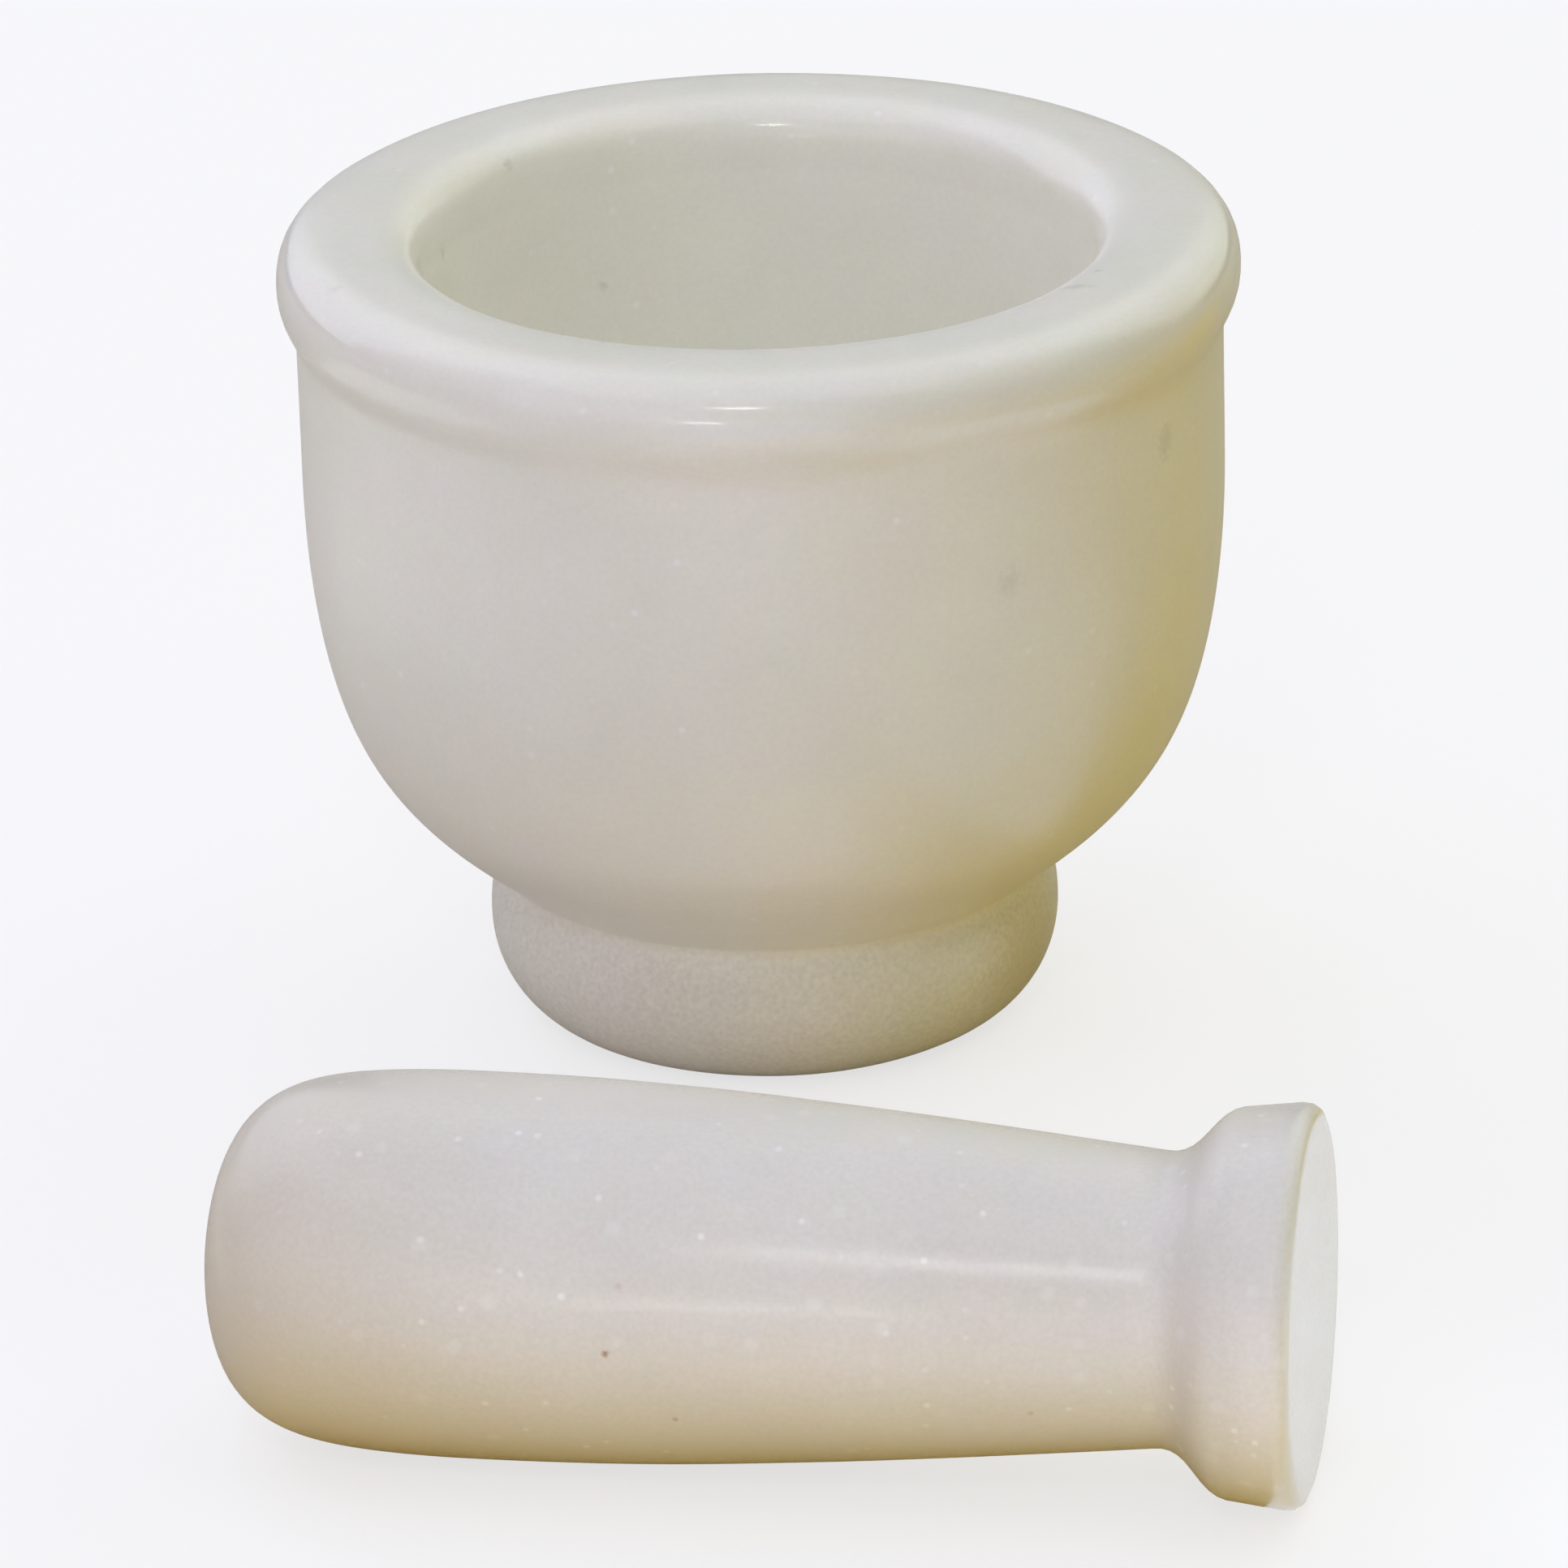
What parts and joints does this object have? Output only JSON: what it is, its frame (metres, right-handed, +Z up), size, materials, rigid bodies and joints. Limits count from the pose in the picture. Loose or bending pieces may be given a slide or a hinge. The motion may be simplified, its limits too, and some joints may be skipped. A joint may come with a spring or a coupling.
{
  "type": "mortar and pestle",
  "caption": "Marble mortar: deep round bowl with a rounded lip on a short ring foot, and a blunt club-shaped pestle with a flat-ended knob lying in front of it.",
  "frame": {"origin": "centre of the mortar's flat foot, where it stands on the table", "axes": "+Z up along the mortar's turning axis; +Y to the back, away from the side that the pestle lies on; +X to the right, where the pestle's knob points"},
  "size_m": [0.1092, 0.1891, 0.0873],
  "materials": {
    "mortar_marble": "satin",
    "pestle_marble": "satin"
  },
  "bodies": {
    "mortar": {"mortar": "mortar_marble"},
    "pestle": {"pestle": "pestle_marble"}
  },
  "joints": [
    {"name": "pestle_lift", "type": "slide", "parent": "mortar", "child": "pestle", "axis": [0, 0, 1], "range_m": [0, 0.12]}
  ]
}
